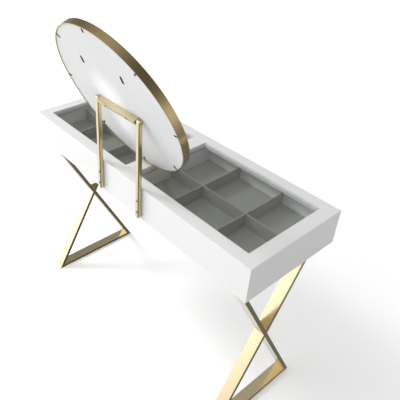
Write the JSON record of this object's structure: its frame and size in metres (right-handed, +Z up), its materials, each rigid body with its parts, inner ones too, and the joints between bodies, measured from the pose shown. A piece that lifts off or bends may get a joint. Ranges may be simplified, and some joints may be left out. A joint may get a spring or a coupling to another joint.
{
  "type": "vanity table",
  "caption": "Vanity table with glass-topped compartment drawers, crossed flat-bar brass legs and a round tilting mirror on two posts at the back.",
  "frame": {"origin": "on the floor, at the centre of the overall footprint, midway between the front tip of the feet and the rearmost point of the mirror", "axes": "+Z up, +Y to the back where the mirror posts stand, +X to the seated user's right; the drawers open to -Y"},
  "size_m": [1.1, 0.5306, 1.3026],
  "materials": {
    "white_lacquer": "satin white lacquer on board",
    "clear_glass": "clear polished float glass",
    "brushed_brass": "brushed pale brass",
    "black_nylon": "matte",
    "zinc_steel": "zinc plated",
    "runner_steel": "bright zinc plated, rolled",
    "silvered_glass": "silvered mirror glass",
    "core_board": "raw fibreboard",
    "white_back_board": "glossy white",
    "black_steel": "black powder coat",
    "grey_lining": "matte olive grey lacquer"
  },
  "bodies": {
    "table": {"top_board": "white_lacquer", "bottom_board": "white_lacquer", "back_panel": "white_lacquer", "left_side": "white_lacquer", "right_side": "white_lacquer", "centre_partition": "white_lacquer", "left_glass": "clear_glass", "right_glass": "clear_glass", "left_leg_long_bar": "brushed_brass", "left_leg_upper_bar": "brushed_brass", "left_leg_lower_bar": "brushed_brass", "left_leg_foot_rail": "brushed_brass", "left_leg_top_plate": "brushed_brass", "right_leg_long_bar": "brushed_brass", "right_leg_upper_bar": "brushed_brass", "right_leg_lower_bar": "brushed_brass", "right_leg_foot_rail": "brushed_brass", "right_leg_top_plate": "brushed_brass", "left_post": "brushed_brass", "right_post": "brushed_brass", "pivot_screws": "brushed_brass", "pivot_washers": "black_nylon", "post_screws": "zinc_steel", "leg_glides": "black_nylon", "leg_screws": "zinc_steel", "left_case_inner_runner": "runner_steel", "left_case_outer_runner": "runner_steel", "right_case_inner_runner": "runner_steel", "right_case_outer_runner": "runner_steel"},
    "mirror": {"crossbar": "brushed_brass", "crossbar_screws": "zinc_steel", "mirror_ring": "brushed_brass", "mirror_glass": "silvered_glass", "mirror_core": "core_board", "mirror_back_panel": "white_back_board", "rim_clips": "black_steel", "hanger_plates": "black_steel"},
    "left_drawer": {"left_drawer_front": "white_lacquer", "left_drawer_inner_side": "white_lacquer", "left_drawer_outer_side": "white_lacquer", "left_drawer_back": "white_lacquer", "left_drawer_base": "grey_lining", "left_drawer_long_divider": "grey_lining", "left_drawer_cross_dividers": "grey_lining", "left_drawer_inner_runner": "runner_steel", "left_drawer_outer_runner": "runner_steel"},
    "left_slide": {"left_middle_inner_runner": "runner_steel", "left_middle_outer_runner": "runner_steel"},
    "right_drawer": {"right_drawer_front": "white_lacquer", "right_drawer_inner_side": "white_lacquer", "right_drawer_outer_side": "white_lacquer", "right_drawer_back": "white_lacquer", "right_drawer_base": "grey_lining", "right_drawer_long_divider": "grey_lining", "right_drawer_cross_dividers": "grey_lining", "right_drawer_inner_runner": "runner_steel", "right_drawer_outer_runner": "runner_steel"},
    "right_slide": {"right_middle_inner_runner": "runner_steel", "right_middle_outer_runner": "runner_steel"}
  },
  "joints": [
    {"name": "mirror_tilt", "type": "hinge", "parent": "table", "child": "mirror", "pos_m": [0, 0.14724, 1.021], "axis": [-1, 0, 0], "range_deg": [-2, 35]},
    {"name": "left_drawer_slide", "type": "slide", "parent": "table", "child": "left_drawer", "axis": [0, -1, 0], "range_m": [0, 0.28]},
    {"name": "left_slide_extend", "type": "slide", "parent": "table", "child": "left_slide", "axis": [0, -1, 0], "range_m": [0, 0.14]},
    {"name": "right_drawer_slide", "type": "slide", "parent": "table", "child": "right_drawer", "axis": [0, -1, 0], "range_m": [0, 0.28]},
    {"name": "right_slide_extend", "type": "slide", "parent": "table", "child": "right_slide", "axis": [0, -1, 0], "range_m": [0, 0.14]}
  ],
  "couplings": [
    {"joint": "left_slide_extend", "follows": "left_drawer_slide", "ratio": 0.5},
    {"joint": "right_slide_extend", "follows": "right_drawer_slide", "ratio": 0.5}
  ]
}
